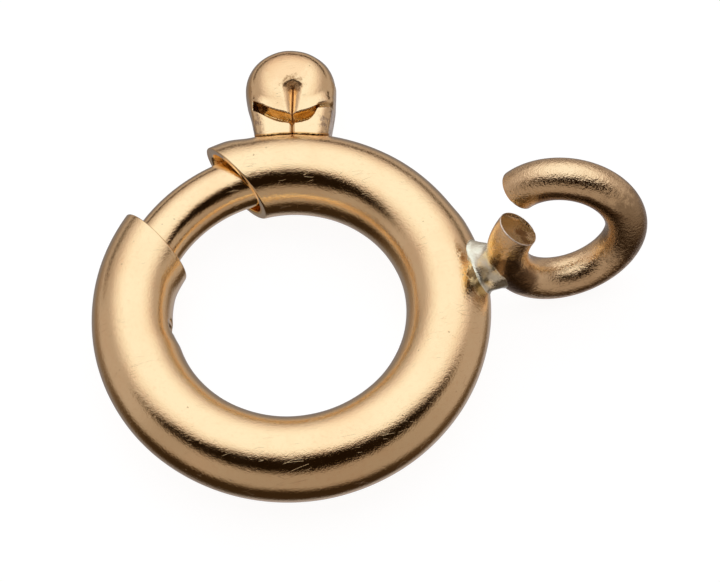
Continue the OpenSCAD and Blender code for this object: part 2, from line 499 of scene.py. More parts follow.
def from_tube_axis(tree, where):
    """Distance in mm from the circle in the middle of the tube."""
    x, y, z = xyz(tree, where.socket)
    outwards = (x * x + y * y).math("SQRT") - RING_R
    return (outwards * outwards + z * z).math("SQRT")


def bore_lining(tree, where):
    """Unpolished inside of the tube."""
    inside = from_tube_axis(tree, where).fall(BORE_R + 0.02, BORE_R + 0.06)
    return inside, BORE_GOLD, 0.12, 0.0


# Where the solder ran over the tube, and where the corner beside it is dark brown
FLOW_TAN_AT = (2.69, 0.03, 0.545)
FLOW_OLIVE_AT = (2.84, -0.42, 0.38)
CORNER_BROWN_AT = (2.76, -0.18, 0.49)


def flow_tan(tree, where):
    """Solder that ran over the tube and took its colour."""
    return near(tree, where, FLOW_TAN_AT, 0.15), FLOW_TAN, 0.1, -0.004


def flow_olive(tree, where):
    """Solder that ran lower down and stayed duller."""
    return near(tree, where, FLOW_OLIVE_AT, 0.17), OLIVE_GOLD, 0.1, 0.001


def solder_corner_brown(tree, where):
    """Dark brown in the corner between solder and tube."""
    return near(tree, where, CORNER_BROWN_AT, 0.14, 0.12) * 0.8, CORNER_BROWN, 0.25, 0.002


# Ring of tube
FLAT_AT_TRIGGER = 0.022
FLAT_SIDE = 11.5
FLAT_EASE = 7
FLARE_AT_MOUTH = 0.045
FLARE_FULL_FROM, FLARE_FULL_TO, FLARE_END = 99, 106, 120
PRESS_AT_HOLE = 0.05
PRESS_RISE = (143, 158)
PRESS_FALL = (178, 188)
# Turns along the ring, turns round the tube, phase, depth
WAVES = ((3, 1, 0.3, 0.0016), (7, 2, 1.9, 0.001), (13, 1, 4.1, 0.0007), (5, 3, 2.7, 0.0008))


def tube_dent(angle, phi):
    """How far the tube's wall is moved out from the ring's centre, in mm. It is flat where the trigger
    slides, flared at the mouth, pressed in at the lanced hole and slightly wavy all round."""
    outer = np.clip(np.cos(np.radians(phi)), 0, 1) ** 2
    inner = np.clip(-np.cos(np.radians(phi)), 0, 1) ** 2
    at = np.mod(angle, 360)
    flat_from, flat_to = TRIGGER_AT - TRIGGER_TURN - FLAT_SIDE, TRIGGER_AT + FLAT_SIDE
    flat = ramp(at, flat_from - FLAT_EASE, flat_from) * (1 - ramp(at, flat_to, flat_to + FLAT_EASE))
    dent = -FLAT_AT_TRIGGER * flat * outer
    flare = ramp(at, flat_to, FLARE_FULL_FROM) * (1 - ramp(at, FLARE_FULL_TO, FLARE_END))
    dent += FLARE_AT_MOUTH * flare * outer
    dent += PRESS_AT_HOLE * ramp(at, *PRESS_RISE) * (1 - ramp(at, *PRESS_FALL)) * inner
    for along_ring, round_tube, phase, depth in WAVES:
        dent += depth * np.sin(np.radians(along_ring * at + round_tube * phi) + phase)
    return dent


def evenly(marks, step):
    """Values from the first mark to the last, about step apart, that hit every mark."""
    values = []
    for a, b in zip(marks, marks[1:]):
        n = max(1, math.ceil((b - a) / step))
        values += [a + (b - a) * k / n for k in range(n)]
    return np.array(values + [marks[-1]])


def ring_tube(material):
    """Skin of the tube: along its outside, over one cut end, back along the bore and over the other.
    The slot and the lanced hole are left out of both walls and get walls of their own."""
    slot_edge = math.degrees(math.asin(SLOT_HALF_H / TUBE_R))
    slot_edge_in = math.degrees(math.asin(SLOT_HALF_H / BORE_R))
    hole_edge = math.degrees(math.asin(STOP_HOLE_H / 2 / TUBE_R))
    marks = [-180, -180 + hole_edge, -90, -slot_edge, slot_edge, 90, 180 - hole_edge, 180]
    phi = evenly(marks, 3.4)[:-1]
    phi_in = np.interp(phi, [-90, -slot_edge, slot_edge, 90], [-90, -slot_edge_in, slot_edge_in, 90])
    phi_in = np.where(np.abs(phi) > 90, phi, phi_in)

    hole_from, hole_to = STOP_AT - HOLE_SIDE, STOP_AT + HOLE_SIDE
    first, last = 150.0, SLOT_TO + 360 + 0.5
    middle = evenly([first, hole_from, hole_to, 360 + SLOT_FROM, 360 + SLOT_TO, last], 1.1)
    ease = np.linspace(0, 1, 22)[:-1]
    bevel, hair = 0.022, 1e-6

    def wall(phi_row, radius):
        """Angle of each station of one wall, one row for each angle round the tube."""
        rho = RING_R + radius * np.cos(np.radians(phi_row))[:, None]
        start = cut_angle(FAR_CUT, rho, bevel)
        end = 360 + cut_angle(NEAR_CUT, rho, bevel)
        from_start = start + (first - start) * ease
        to_end = last + (end - last) * (1 - ease[::-1])
        between = np.broadcast_to(middle, (len(phi_row), len(middle)))
        return np.concatenate([from_start, between, to_end], 1)

    outer_at = shape_hole(wall(phi, TUBE_R), phi, TUBE_R, hole_from, hole_to)
    inner_at = shape_hole(wall(phi_in, BORE_R), phi, BORE_R, hole_from, hole_to)
    stations = outer_at.shape[1]

    def place(angle, phi_row, radius):
        rad = np.radians(phi_row)[:, None]
        rho = RING_R + radius * np.cos(rad) + tube_dent(angle, phi_row[:, None])
        return polar(rho, angle, radius * np.sin(rad))

    def rim(cut, turn):
        """Rounded edges and flat cut face of the wall at one end, from the outside in."""
        quarter = np.radians(np.linspace(0, 90, 5))
        cosine, sine = bevel * np.cos(quarter), bevel * np.sin(quarter)
        steps = [(TUBE_R - bevel + a, bevel - b, 0) for a, b in zip(cosine[1:], sine[1:])]
        steps += [(TUBE_R - TUBE_WALL / 2, 0, 0.5)]
        steps += [(BORE_R + bevel - b, bevel - a, 1) for a, b in zip(cosine[:-1], sine[:-1])]
        columns = []
        for radius, inset, share in steps:
            row = phi + (phi_in - phi) * share
            rho = RING_R + radius * np.cos(np.radians(row))[:, None]
            columns.append(place(cut_angle(cut, rho, inset) + turn, row, radius))
        return np.concatenate(columns, 1)

    outer = place(outer_at, phi, TUBE_R)
    inner = place(inner_at, phi_in, BORE_R)
    near_rim, far_rim = rim(NEAR_CUT, 360), rim(FAR_CUT, 0)
    skin = np.concatenate([outer, near_rim, inner[:, ::-1], far_rim[:, ::-1]], 1)
    rows, columns = skin.shape[:2]

    def cells(phi_from, phi_to, at_from, at_to):
        """Marks a patch of the outer wall and the same patch of the bore."""
        at = outer_at[len(phi) // 2].copy()
        at[len(ease):len(ease) + len(middle)] = middle
        i = (phi + hair >= phi_from) & (phi + hair < phi_to)
        j = np.zeros(columns, bool)
        j[:stations] = (at >= at_from - hair) & (at < at_to - hair)
        back = stations + near_rim.shape[1]
        j[back:back + stations - 1] = j[:stations - 1][::-1]
        return i[:, None] & j[None, :]

    slot = cells(-slot_edge, slot_edge, 360 + SLOT_FROM, 360 + SLOT_TO)
    hole = cells(180 - hole_edge, 360, hole_from, hole_to) | cells(-180, -180 + hole_edge, hole_from, hole_to)
    gone = slot | hole
    faces = grid_faces(rows, columns, True, gone)
    faces += opening_walls(gone, rows, columns, stations, near_rim.shape[1])
    return add_mesh("ring_tube", skin.reshape(-1, 3), faces, material)


def shape_hole(at, phi, radius, hole_from, hole_to):
    """Bends the columns beside the lanced hole so that its ends are round."""
    z = np.abs(radius * np.sin(np.radians(phi)))[:, None]
    half, straight = STOP_HOLE_LEN / 2, (STOP_HOLE_H - STOP_HOLE_LEN) / 2
    share = np.sqrt(np.clip(1 - (np.clip(z - straight, 0, half) / half) ** 2, 0.09, 1))
    inner_side = (np.cos(np.radians(phi)) < 0)[:, None]
    shift = (1 - share) * HOLE_SIDE * inner_side * (z < STOP_HOLE_H)
    low = bump_shape(at, hole_from, 5) * shift
    high = bump_shape(at, hole_to, 5) * shift
    return at + low - high


def opening_walls(gone, rows, columns, stations, rim_columns):
    """Quads through the wall's thickness round each opening."""
    faces = []
    partner = 2 * stations + rim_columns - 1

    def index(i, j):
        return (i % rows) * columns + j

    def wall(i0, j0, i1, j1):
        faces.append((index(i0, j0), index(i1, j1), index(i1, partner - j1), index(i0, partner - j0)))

    for i, j in np.argwhere(gone[:, :stations]):
        if not gone[(i - 1) % rows, j]:
            wall(i, j, i, j + 1)
        if not gone[(i + 1) % rows, j]:
            wall(i + 1, j + 1, i + 1, j)
        if not gone[i, j - 1]:
            wall(i + 1, j, i, j)
        if not gone[i, j + 1]:
            wall(i, j + 1, i + 1, j + 1)
    return faces


# Round rods
def rod_points(path, across, radius, rows):
    """Rings of points about a path. across holds two unit vectors square to the path at each point."""
    turn = np.radians(np.arange(rows) * 360 / rows)[:, None, None]
    radius = np.broadcast_to(radius, len(path))[None, :, None]
    return path[None] + radius * (np.cos(turn) * across[0][None] + np.sin(turn) * across[1][None])


def add_rod(name, points, material):
    """Mesh of a rod's rings with a centre point at each end."""
    rows, columns = points.shape[:2]
    flat = points.reshape(-1, 3)
    ends = [points[:, 0].mean(0), points[:, -1].mean(0)]
    faces = grid_faces(rows, columns)
    n = rows * columns
    for i in range(rows):
        below = (i + 1) % rows
        faces.append((n, i * columns, below * columns))
        faces.append((n + 1, below * columns + columns - 1, i * columns + columns - 1))
    return add_mesh(name, np.concatenate([flat, ends]), faces, material)


def bent_rod(name, ring_r, angle, radius, rows, material):
    """Rod along a circle about the Z axis, from the first angle to the last."""
    out = polar(1.0, angle, 0.0)
    up = np.broadcast_to([0.0, 0.0, 1.0], out.shape)
    return add_rod(name, rod_points(polar(ring_r, angle, 0.0), (out, up), radius, rows), material)


def closing_tongue(material):
    """Curved wire with rounded edges at both ends."""
    edge = 0.05
    edge_turn = along(edge, RING_R)
    body = np.linspace(TAIL_AT + edge_turn, TIP_AT - edge_turn, 260)
    quarter = np.radians(np.linspace(0, 90, 7))
    short_of_tip = edge_turn * (1 - np.sin(quarter))
    tip_r = TONGUE_R - edge * (1 - np.cos(quarter))
    angle = np.concatenate([TAIL_AT + short_of_tip[::-1], body[1:-1], TIP_AT - short_of_tip])
    radius = np.concatenate([tip_r[::-1], np.full(len(body) - 2, TONGUE_R), tip_r])
    return bent_rod("closing_tongue", RING_R + TONGUE_SHIFT, angle, radius, 64, material)


# Spring
# Share of its length, beside the stop, that stays with the clasp
STILL_SHARE = 0.36


def spring_coils(name, from_share, to_share, material):
    """Part of the coil spring, laid along the tube's own circle."""
    per_turn, sides = 26, 10
    total = SPRING_TURNS * per_turn
    i = np.arange(round(total * from_share), round(total * to_share) + 1)
    turn = np.radians(360 * i / per_turn)[:, None]
    at = SPRING_TAIL + (SPRING_FOOT - SPRING_TAIL) * i / total
    out, way = polar(1.0, at, 0.0), polar(1.0, at + 90, 0.0)
    up = np.array([0.0, 0.0, 1.0])
    coil_out = out * np.cos(turn) + up * np.sin(turn)
    path = out * RING_R + coil_out * SPRING_R
    return add_rod(name, rod_points(path, (coil_out, way), SPRING_WIRE / 2, sides), material)


def stop_tab(material):
    """Tab of the lanced hole, bent across the tube's bore, against which the spring stands."""
    angle = np.linspace(STOP_MID - STOP_SIDE, STOP_MID + STOP_SIDE, 6)
    return bent_rod("stop_tab", RING_R, angle, BORE_R + TUBE_WALL / 2, 48, material)


# Jump ring
def spin(angle, axis):
    return Matrix.Rotation(math.radians(angle), 4, axis)


def jump_frame():
    """Matrix from the jump ring's own plane to the row frame, in mm."""
    return Matrix.Translation((JUMP_X, 0, JUMP_Z)) @ spin(JUMP_YAW, "Z") @ spin(90 - JUMP_LEAN, "X")


def bend_frame():
    """The same for the long half, which is twisted about the wire's own direction at the bend."""
    out, back = Matrix.Translation((JUMP_R, 0, 0)), Matrix.Translation((-JUMP_R, 0, 0))
    return jump_frame() @ spin(JUMP_BEND, "Z") @ out @ spin(-JUMP_TWIST, "Y") @ back


def moved(matrix, points):
    m = np.array(matrix)
    return points @ m[:3, :3].T + m[:3, 3]


def turned(matrix, vectors):
    return vectors @ np.array(matrix)[:3, :3].T


def jump_path(step=1.4):
    """Middle line of the jump ring's wire and its direction, from the short end to the long end."""
    short_half = np.linspace(JUMP_SHORT_END, JUMP_BEND, round((JUMP_BEND - JUMP_SHORT_END) / step))
    long_half = np.linspace(0, JUMP_LONG_END - JUMP_BEND, round((JUMP_LONG_END - JUMP_BEND) / step))[1:]
    path = np.concatenate([
        moved(jump_frame(), polar(JUMP_R, short_half, 0.0)),
        moved(bend_frame(), polar(JUMP_R, long_half, 0.0)),
    ])
    way = np.concatenate([
        turned(jump_frame(), polar(1.0, short_half + 90, 0.0)),
        turned(bend_frame(), polar(1.0, long_half + 90, 0.0)),
    ])
    return path, way


def carried(way, start):
    """Unit vectors square to a path, carried along it without twist."""
    side = start - way[0] * (start @ way[0])
    side = side / np.linalg.norm(side)
    out = [side]
    for w in way[1:]:
        side = side - w * (side @ w)
        side = side / np.linalg.norm(side)
        out.append(side)
    first = np.array(out)
    return first, np.cross(way, first)


# Facets of the cut ends: direction in which they fall off, distance from the middle where they start, slope
SHORT_BEVELS = (((0.0, 0.98, -0.2), 0.2, 0.5), ((0.56, 0.62, -0.55), 0.22, 1.3))
LONG_BEVELS = (((0.1, -0.7, -0.7), 0.06, 1.45),)
END_HOLLOW = 0.02
END_UNEVEN = 0.004


def jump_ring(material):
    """Wire of the jump ring. The cut ends have a worn edge and a hollow, uneven face."""
    path, way = jump_path()
    across = carried(way, np.array([0.0, 0.0, 1.0]))
    rows = 72
    wire = rod_points(path, across, JUMP_WIRE / 2, rows)
    ends = []
    for k, sign, bevels in ((0, -1, SHORT_BEVELS), (-1, 1, LONG_BEVELS)):
        ends.append(end_face(path[k], way[k] * sign, (across[0][k], across[1][k]), rows, bevels))
    points = np.concatenate([ends[0][:, ::-1], wire, ends[1]], 1)
    return add_rod("jump_ring", points, material)


def end_face(centre, outward, across, rows, bevels):
    """Rings of points from the wire's edge to the middle of a cut end."""
    radius = JUMP_WIRE / 2
    edge = 0.014
    quarter = np.radians(np.linspace(12, 90, 6))
    steps = [(radius - edge * (1 - math.cos(q)), edge * math.sin(q)) for q in quarter]
    steps += [((radius - edge) * share, edge) for share in np.linspace(0.97, 0.03, 24)]
    turn = np.radians(np.arange(rows) * 360 / rows)
    rings = []
    for r, rise in steps:
        side = across[0] * (r * np.cos(turn))[:, None] + across[1] * (r * np.sin(turn))[:, None]
        lift = rise - END_HOLLOW * (1 - (r / (radius - edge)) ** 2) * (r < radius - edge)
        lift = lift + END_UNEVEN * np.sin(11 * side[:, 0] + 5 * side[:, 1]) * (r < radius - edge)
        for way, start, slope in bevels:
            lift = lift - slope * np.clip(side @ np.array(way) - start, 0, 1)
        rings.append(centre + outward * lift[:, None] + side)
    return np.stack(rings, 1)


# Spots of painted shadow and painted highlight on the short end's face (place from its middle), and of
# painted shade below it: place, reach, how ragged
FACE_SHADOWS = (
    ((0.03, -0.07, 0.0), 0.13, 0.12),
    ((0.06, -0.2, 0.0), 0.11, 0.1),
    ((0.19, 0.17, -0.18), 0.1, 0.06),
)
FACE_HIGHLIGHTS = (
    ((-0.01, 0.27, -0.06), 0.13, 0.04),
    ((0.17, -0.12, -0.08), 0.12, 0.06),
)
STUB_SHADE_SPOTS = (
    ((3.23, -0.36, 0.72), 0.32, 0.06),
    ((3.42, -0.42, 0.30), 0.38, 0.06),
)
HEATED_STATION = 16


def past_face(tree, where):
    """Distance in mm beyond the plane of the short end's face."""
    path, way = jump_path()
    return dot(tree, where, -way[0]) + float(path[0] @ way[0])


def cut_face(tree, where):
    """Sheared face of the short end, with brown streaks."""
    path, _ = jump_path()
    drawn = stretched(tree, where, (0.4, 0.2, 1.0), (3.0, 14.0, 3.0))
    streak = noise(tree, drawn, 1.6, 3.0).step(0.35, 0.7, 0.7, 1.0)
    face = past_face(tree, where).step(-0.02, 0.0) * near(tree, where, path[0], 0.5, 0.0)
    return face * streak, OLIVE_GOLD, 0.15, 0.0


def far_side_shade(tree, where):
    """Painted shade on the far side of the jump ring, where its metal is also slightly rougher."""
    return near(tree, where, (JUMP_X + JUMP_R, -0.1, JUMP_Z + 0.15), 0.85, 0.3) * 0.9, FAR_SIDE_SHADE, 0.05, 0.0


def eye_painted_shade(tree, where):
    """Painted shade low on the front of the jump ring's upper half, a dark reflection put into the colour."""
    plane = np.array(bend_frame())
    centre, axis = plane[:3, 3], plane[:3, 2]
    x, _, z = xyz(tree, where.socket)
    ahead = dot(tree, where, axis) - float(centre @ axis)
    from_centre = distance(tree, where, centre)
    in_plane = (from_centre * from_centre - ahead * ahead).math("SQRT")
    rise = z - float(centre[2]) - ahead * float(axis[2])
    past_wire = in_plane.math("POWER", -1.0) * -JUMP_R + 1.0
    facing_up = (ahead * float(axis[2]) + past_wire * rise) / (JUMP_WIRE / 2)
    ragged = facing_up + (noise(tree, where, 9.0, 3.0, 0.6) - 0.5) * 0.25
    here = z.step(0.95, 1.15) * x.step(3.8, 3.92) * ahead.step(0.0, 0.1)
    return ragged.step(0.3, 0.46, 0.97, 0.0) * here, PAINTED_DARK, 0.05, 0.0


def stub_colour(tree, where):
    """Deeper and uneven gold where the soldering heated the short end."""
    path, _ = jump_path()
    uneven = noise(tree, where, 7.0, 4.0, 0.6).step(0.42, 0.58, 0.35, 1.0)
    return near(tree, where, path[HEATED_STATION], 0.46, 0.12) * uneven, HEATED_GOLD, 0.05, 0.0


def face_shadow(tree, where):
    """Painted shadow in brown across the short end's face, from its upper to its lower edge."""
    return spots(tree, where, FACE_SHADOWS, jump_path()[0][0]) * 0.85, FACE_SHADOW_BROWN, 0.1, 0.004


def face_bevel_highlights(tree, where):
    """Painted highlight on the bevelled upper and right edges of the short end's face."""
    return spots(tree, where, FACE_HIGHLIGHTS, jump_path()[0][0]), BEVEL_HIGHLIGHT, 0.0, 0.0


def stub_painted_shade(tree, where):
    """Painted shade, a dark band below the short end."""
    return spots(tree, where, STUB_SHADE_SPOTS) * 0.92, PAINTED_DARK, 0.1, 0.0


def cut_rim_glint(tree, where):
    """Painted glint, a pale line round the short end's face."""
    from_middle = distance(tree, where, jump_path()[0][0])
    at_edge = from_middle.step(0.3, 0.306) * from_middle.fall(0.32, 0.33)
    on_face = (past_face(tree, where) - 0.004).math("ABSOLUTE").fall(0.006, 0.011)
    return at_edge * on_face, RIM_GLINT, 0.25, 0.0


# Solder
SOLDER_AT = np.array([3.03, 0.0, 0.30])
SOLDER_REACH = np.array([0.38, 0.50, 0.46])
SOLDER_LUMPS = (
    # centre, radii
    ((2.89, 0.14, 0.36), (0.12, 0.24, 0.14)),
    ((3.02, 0.16, 0.26), (0.17, 0.18, 0.21)),
    ((3.07, -0.10, 0.31), (0.22, 0.31, 0.30)),
)
SOLDER_BLEND = 0.3
SOLDER_SUNK = 0.007
SOLDER_STEP = 0.0125


def wire_distance(p):
    """Distance to the short half of the jump ring's wire, taken as a whole circle."""
    q = moved(jump_frame().inverted(), p)
    return np.hypot(np.hypot(q[:, 0], q[:, 1]) - JUMP_R, q[:, 2]) - JUMP_WIRE / 2


def ellipsoid(p, centre, radii):
    """Distance to an ellipsoid, near enough close to its surface."""
    q = (p - centre) / radii
    k0 = np.linalg.norm(q, axis=1)
    k1 = np.linalg.norm(q / radii, axis=1)
    return k0 * (k0 - 1) / np.maximum(k1, 1e-6)


def solder_field(p):
    """Distance to the solder: a lump and a fillet between tube and wire, just under both elsewhere."""
    tube = torus_distance(p, RING_R, TUBE_R)
    wrinkles = 0.005 * np.sin(17 * p[:, 0] + 3) * np.sin(23 * p[:, 1] + 1)
    wrinkles = wrinkles + 0.003 * np.sin(31 * p[:, 2] + 9 * p[:, 1])
    fillet = smooth_min(tube + SOLDER_SUNK, wire_distance(p) + SOLDER_SUNK, SOLDER_BLEND)
    for centre, radii in SOLDER_LUMPS:
        fillet = smooth_min(fillet, ellipsoid(p, np.array(centre), np.array(radii)), 0.12)
    kept = smooth_max(fillet + wrinkles, ellipsoid(p, SOLDER_AT, SOLDER_REACH), 0.03)
    return smooth_max(kept, -(tube + TUBE_WALL / 2), 0.01)


def solder_joint(material):
    reach = SOLDER_REACH + 0.03
    points, faces = surface_net(solder_field, SOLDER_AT - reach, SOLDER_AT + reach, SOLDER_STEP)
    return add_mesh("solder_joint", points, faces, material)


# Trigger
HEAD_SHIFT = -0.022
HEAD_HIGH = 0.64
HEAD_FOOT = 0.84
DOME_R = 1.8
DOME_TOP = 0.54
SEAM_SHIFT = -0.06
NECK_FOOT_W = 1.10
NECK_FOOT_X = 2.81
NECK_TAPER = 0.16
NECK_SHIFT = -0.045
NECK_THINS_FROM = 3.35
NECK_THINS_BY = 0.16
LIP_X = 3.11
NECK_EDGE_X = 3.02
POCKET_Z = 0.16
LEFT_POCKET = 0.6
RIGHT_POCKET = 0.44
BROW_X = 3.31
BROW_SLOPE = 0.35
BROW_WIDTH = 0.035
BROW_DEPTH = 0.04
DIMPLE_X = 3.66
VALLEY_FOOT_X = 3.1
DIMPLE_DEPTH = 0.14
SEAM_DEPTH = 0.035
BLADE_MIDDLE_X = 2.95
BLADE_LEN = 0.64
TRIGGER_STEP = 0.014


def pinched_head(x, y, z):
    """Distance to the hollow head: round in plan, with a shallow dome in front and at the back."""
    from_centre = x - HEAD_AT
    drawn_in = np.where(from_centre < 0, from_centre * HEAD_D / 2 / HEAD_FOOT, from_centre)
    p = np.stack([drawn_in, y - HEAD_SHIFT, np.abs(z)], 1)
    ball = ellipsoid(p, np.zeros(3), np.array([HEAD_D / 2, HEAD_W / 2, HEAD_HIGH]))
    dome = np.linalg.norm(np.stack([from_centre, p[:, 1], p[:, 2] - DOME_TOP + DOME_R], 1), axis=1) - DOME_R
    return smooth_max(ball, dome, 0.11)


def rounded_neck(x, y, z):
    """Distance to the neck, which widens towards the head and thins out beside it."""
    corner = 0.22
    half_w = np.minimum(NECK_FOOT_W / 2 + NECK_TAPER * (x - NECK_FOOT_X), HEAD_W / 2 - 0.035)
    half_t = NECK_T / 2 - NECK_THINS_BY * ramp(x, NECK_THINS_FROM, HEAD_AT)
    qx = np.abs(y - NECK_SHIFT) - (half_w - corner)
    qz = np.abs(z) - (half_t - corner)
    neck = np.hypot(np.maximum(qx, 0), np.maximum(qz, 0)) + np.minimum(np.maximum(qx, qz), 0) - corner
    return np.maximum(neck, x - HEAD_AT)


def pocket(x, y, z):
    """Distance to the crescent openings between the dome's lip and the neck's front sheet."""
    lip = LIP_X + 0.09 * (1 - np.exp(-np.abs(y) / 0.04)) + 0.75 * y ** 2
    edge = NECK_EDGE_X + 0.8 * y ** 2 + 6 * np.maximum(-y - 0.25, 0) ** 2
    floor = POCKET_Z - 0.16 * ramp(y, 0.44, 0.47)
    between = np.maximum(edge - x, x - lip)
    ends = np.maximum(y - LEFT_POCKET, -y - RIGHT_POCKET)
    return np.maximum(np.maximum(between, ends), floor - z)


def brow(x, y, z):
    """How deep the crease is that runs on from the right crescent to the side of the head."""
    middle = BROW_X + BROW_SLOPE * (-y - RIGHT_POCKET + 0.02)
    share = ramp(-y, RIGHT_POCKET - 0.07, RIGHT_POCKET)
    return BROW_DEPTH * np.exp(-((x - middle) / BROW_WIDTH) ** 2) * share * ramp(z, 0.05, 0.3)


def fold(x, y, z):
    """How far the front sheet is folded in along the seam, from the dimple down to the foot."""
    share = np.clip((x - VALLEY_FOOT_X) / (DIMPLE_X - VALLEY_FOOT_X), 0, 1)
    half = 0.05 + 0.145 * share ** 0.8
    depth = SEAM_DEPTH + (DIMPLE_DEPTH - SEAM_DEPTH) * share
    close = ramp(x, DIMPLE_X + 0.07, DIMPLE_X - 0.07)
    slope = np.clip(1 - np.abs(y + 0.02 * share) / (half * (0.4 + 0.6 * close)), 0, 1)
    return depth * slope ** 1.4 * close * (z > 0)


def trigger_field(p):
    """Distance to the folded sheet trigger, laid out along +X from the ring's centre."""
    x, y, z = p[:, 0], p[:, 1], p[:, 2]
    body = smooth_min(pinched_head(x, y, z), rounded_neck(x, y, z), 0.06)
    from_seam = y - SEAM_SHIFT
    body = smooth_max(body, -pocket(x, from_seam, z), 0.02)
    body = body + fold(x, from_seam, z) + brow(x, from_seam, z)
    body = body + 0.0015 * np.sin(9 * x + 5 * y + 2) + 0.001 * np.sin(17 * y + 11 * z)
    flat = FLAT_AT_TRIGGER * (x - RING_R).clip(0) ** 2 / ((x - RING_R) ** 2 + z ** 2 + 1e-6)
    foot = torus_distance(p + np.stack([flat, 0 * flat, 0 * flat], 1), RING_R, TUBE_R + FOOT_GAP)
    body = smooth_max(body, -foot, 0.003)
    plate = np.maximum(np.abs(y) - BLADE_W / 2, np.abs(z) - BLADE_T / 2)
    plate = np.maximum(plate, np.abs(x - BLADE_MIDDLE_X) - BLADE_LEN / 2)
    return np.minimum(body, plate)


def trigger_knob(material):
    low = (2.6, -0.8, -0.7)
    high = (HEAD_AT + 0.7, 0.76, 0.7)
    points, faces = surface_net(trigger_field, low, high, TRIGGER_STEP)
    return add_mesh("trigger_knob", turned(spin(TRIGGER_AT, "Z"), points), faces, material, sharp=32)


def trigger_axes(tree, where):
    """Distances in mm along the trigger, across it from its seam, and up."""
    a = math.radians(TRIGGER_AT)
    out = dot(tree, where, (math.cos(a), math.sin(a), 0))
    across = dot(tree, where, (-math.sin(a), math.cos(a), 0)) - SEAM_SHIFT
    return out, across, dot(tree, where, (0, 0, 1))


def seam_line(tree, where):
    """Dark line where the two edges of the folded sheet meet."""
    out, across, up = trigger_axes(tree, where)
    aside = out.step(VALLEY_FOOT_X, DIMPLE_X, 0.0, 0.02)
    line = (across + aside).math("ABSOLUTE").fall(0.008, 0.018)
    below_dimple = out.fall(DIMPLE_X - 0.06, DIMPLE_X - 0.01)
    return line * up.step(0.1, 0.2) * below_dimple, SEAM_BROWN, 0.3, 0.002


def trigger_point(x, y, z):
    """Place in the row frame of a point of the trigger laid out along +X."""
    a = math.radians(TRIGGER_AT)
    return x * math.cos(a) - y * math.sin(a), x * math.sin(a) + y * math.cos(a), z


def dimple_mottling(tree, where):
    """Mottled dark brown in the dimple where the fold ends."""
    place = trigger_point(DIMPLE_X - 0.02, SEAM_SHIFT - 0.02, 0.57)
    mottle = noise(tree, where, 24.0, 3.0, 0.6).step(0.4, 0.6, 0.45, 1.0)
    return near(tree, where, place, 0.2, 0.11) * mottle * 0.8, DIMPLE_BROWN, 0.25, 0.003


def dome_tarnish(tree, where):
    """Peach-coloured wear on top of the dome."""
    place = trigger_point(HEAD_AT + 0.2, 0.0, DOME_TOP)
    return near(tree, where, place, 0.42, 0.12) * 0.6, WORN_PEACH, 0.06, 0.0


def foot_line(tree, where):
    """Brown along the trigger's foot, where it slides on the tube."""
    close = from_tube_axis(tree, where).fall(TUBE_R + 0.01, TUBE_R + 0.03)
    return close, FOOT_BROWN, 0.2, 0.0


def fold_flanks(tree, where):
    """Both sides of the fold, where gold mirrors gold."""
    out, across, up = trigger_axes(tree, where)
    half = out.step(VALLEY_FOOT_X, DIMPLE_X, 0.06, 0.16)
    flank = (across.math("ABSOLUTE") - half).step(-0.12, 0.0, 0.9, 0.0)
    below_dimple = out.fall(DIMPLE_X - 0.05, DIMPLE_X + 0.05)
    return flank * up.step(0.1, 0.2) * below_dimple, FOLD_GOLD, 0.1, 0.0


def pocket_shade(tree, where):
    """Painted shade inside the hollow trigger, seen through the crescents, in ribbed streaks."""
    out, across, up = trigger_axes(tree, where)
    low = up.fall(0.34, 0.38) * up.step(0.0, 0.05)
    inside = out.step(3.0, 3.05) * out.fall(3.5, 3.56)
    inside = inside * across.math("ABSOLUTE").fall(0.46, 0.5)
    drawn = stretched(tree, where, (0.0, 0.0, math.radians(-TRIGGER_AT)), (1.0, 9.0, 1.0))
    ribs = noise(tree, drawn, 2.2, 3.0)
    return low * inside * ribs.step(0.42, 0.58, 0.45, 1.0), POCKET_SHADE_GOLD, 0.15, 0.0


def brow_shade(tree, where):
    """Painted shade in the crease beside the right crescent."""
    out, across, up = trigger_axes(tree, where)
    middle = (across * -1.0 - (RIGHT_POCKET - 0.02)) * BROW_SLOPE + BROW_X
    close = (out - middle).math("ABSOLUTE").fall(0.015, 0.05)
    past_pocket = across.fall(-RIGHT_POCKET, 0.04 - RIGHT_POCKET)
    return close * past_pocket * up.step(0.05, 0.2) * 0.75, OLIVE_GOLD, 0.1, 0.0


def pocket_end_shade(tree, where):
    """Painted shade where the sheet bends in at the left end of the crescents."""
    out, across, up = trigger_axes(tree, where)
    beside = across.step(0.49, 0.53) * across.fall(0.585, 0.6)
    inside = out.step(3.12, 3.16) * out.fall(3.46, 3.5) * up.fall(0.25, 0.31)
    return beside * inside * up.step(-0.2, -0.1), POCKET_END_SHADE, 0.3, 0.0


def neck_rough_and_shade(tree, where):
    """Rougher metal down both sides of the neck, with mottled painted shade where they curve away."""
    out, across, up = trigger_axes(tree, where)
    blotch = noise(tree, where, 7.0, 4.0, 0.65).step(0.48, 0.6)
    beside = (across - 0.015).math("ABSOLUTE").step(0.38, 0.5)
    return blotch * beside * out.fall(3.2, 3.6) * 0.75, NECK_SIDE_SHADE, 0.15, 0.004


# Stage, light and camera
FLOOR_COLOUR = (0.18, 0.18, 0.187)
FLOOR_GLOW = 0.92

